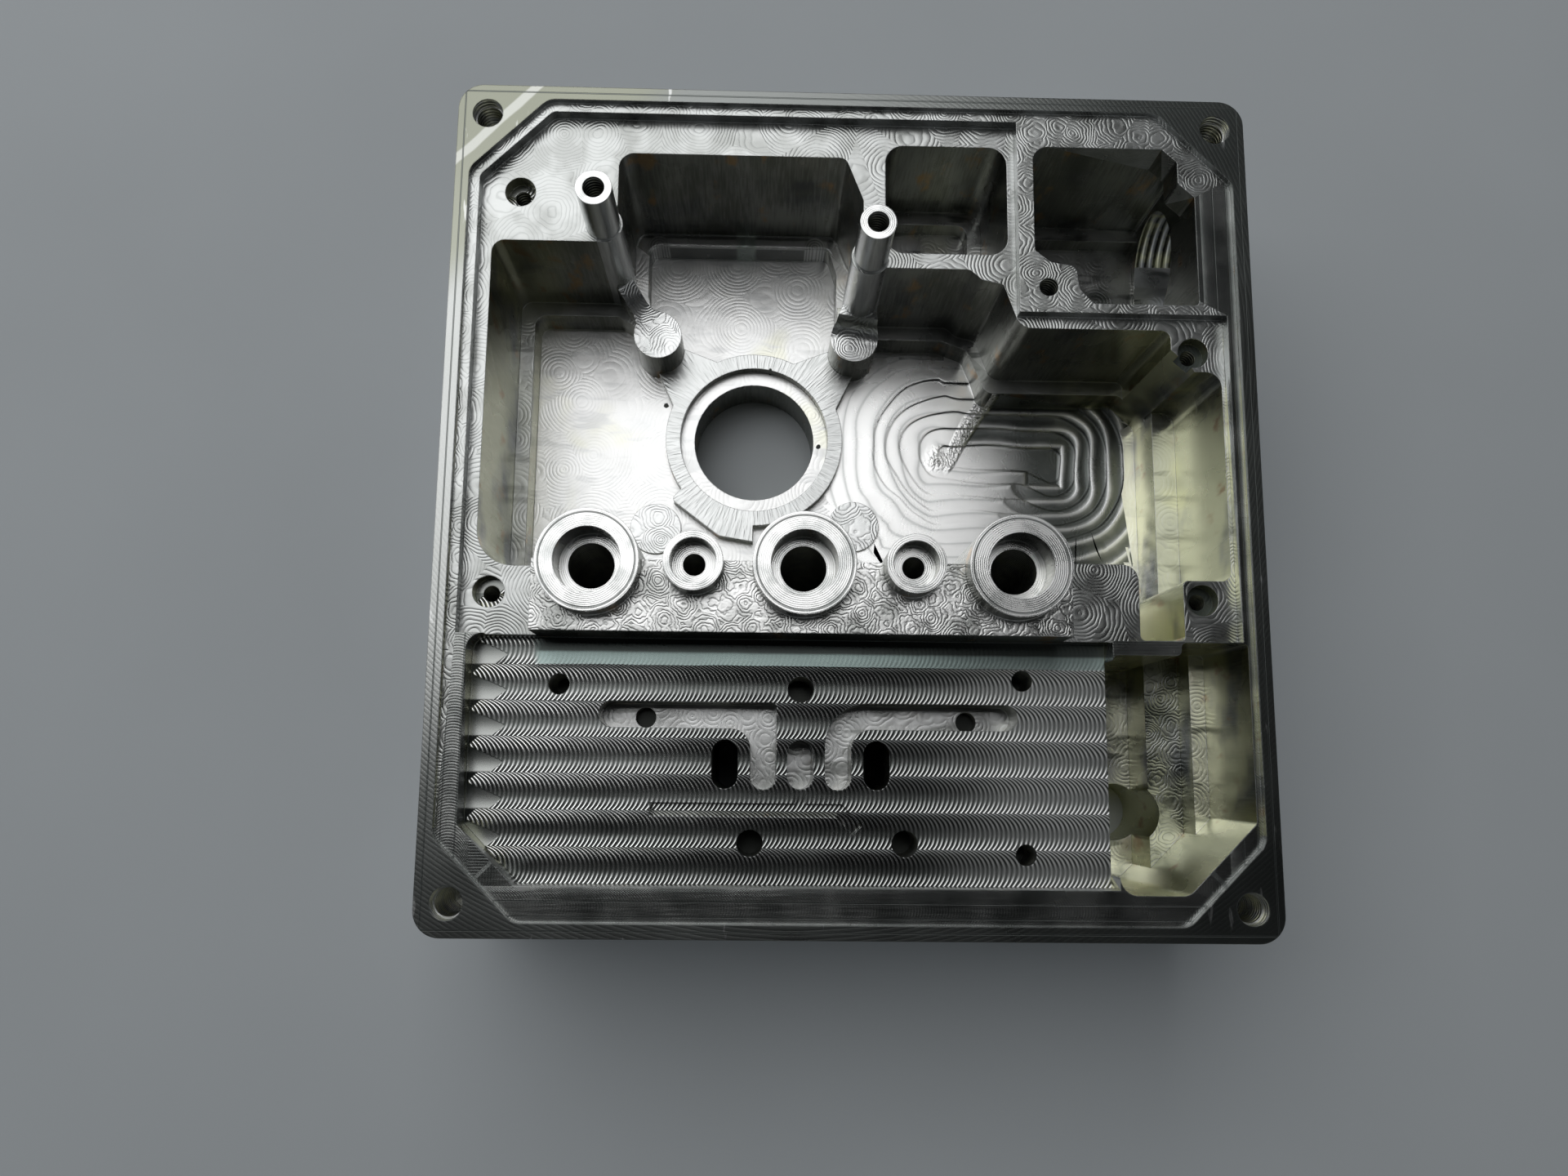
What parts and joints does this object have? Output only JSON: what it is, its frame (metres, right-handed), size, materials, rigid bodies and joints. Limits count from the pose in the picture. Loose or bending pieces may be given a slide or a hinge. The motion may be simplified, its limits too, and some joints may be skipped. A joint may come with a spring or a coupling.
{
  "type": "milled equipment housing",
  "caption": "Milled aluminium housing, open side up, with deep stepped pockets, a bearing ring, a deck of bosses, a ribbed tray and a stepped rim.",
  "frame": {"origin": "middle of the bounding box at the flat underside", "axes": "+Z out of the open side, +X along the row of bosses, +Y away from the ribbed tray"},
  "size_m": [0.1264, 0.1324, 0.054],
  "materials": {
    "housing": "milled"
  },
  "bodies": {
    "root": {"housing": "housing"}
  },
  "joints": []
}
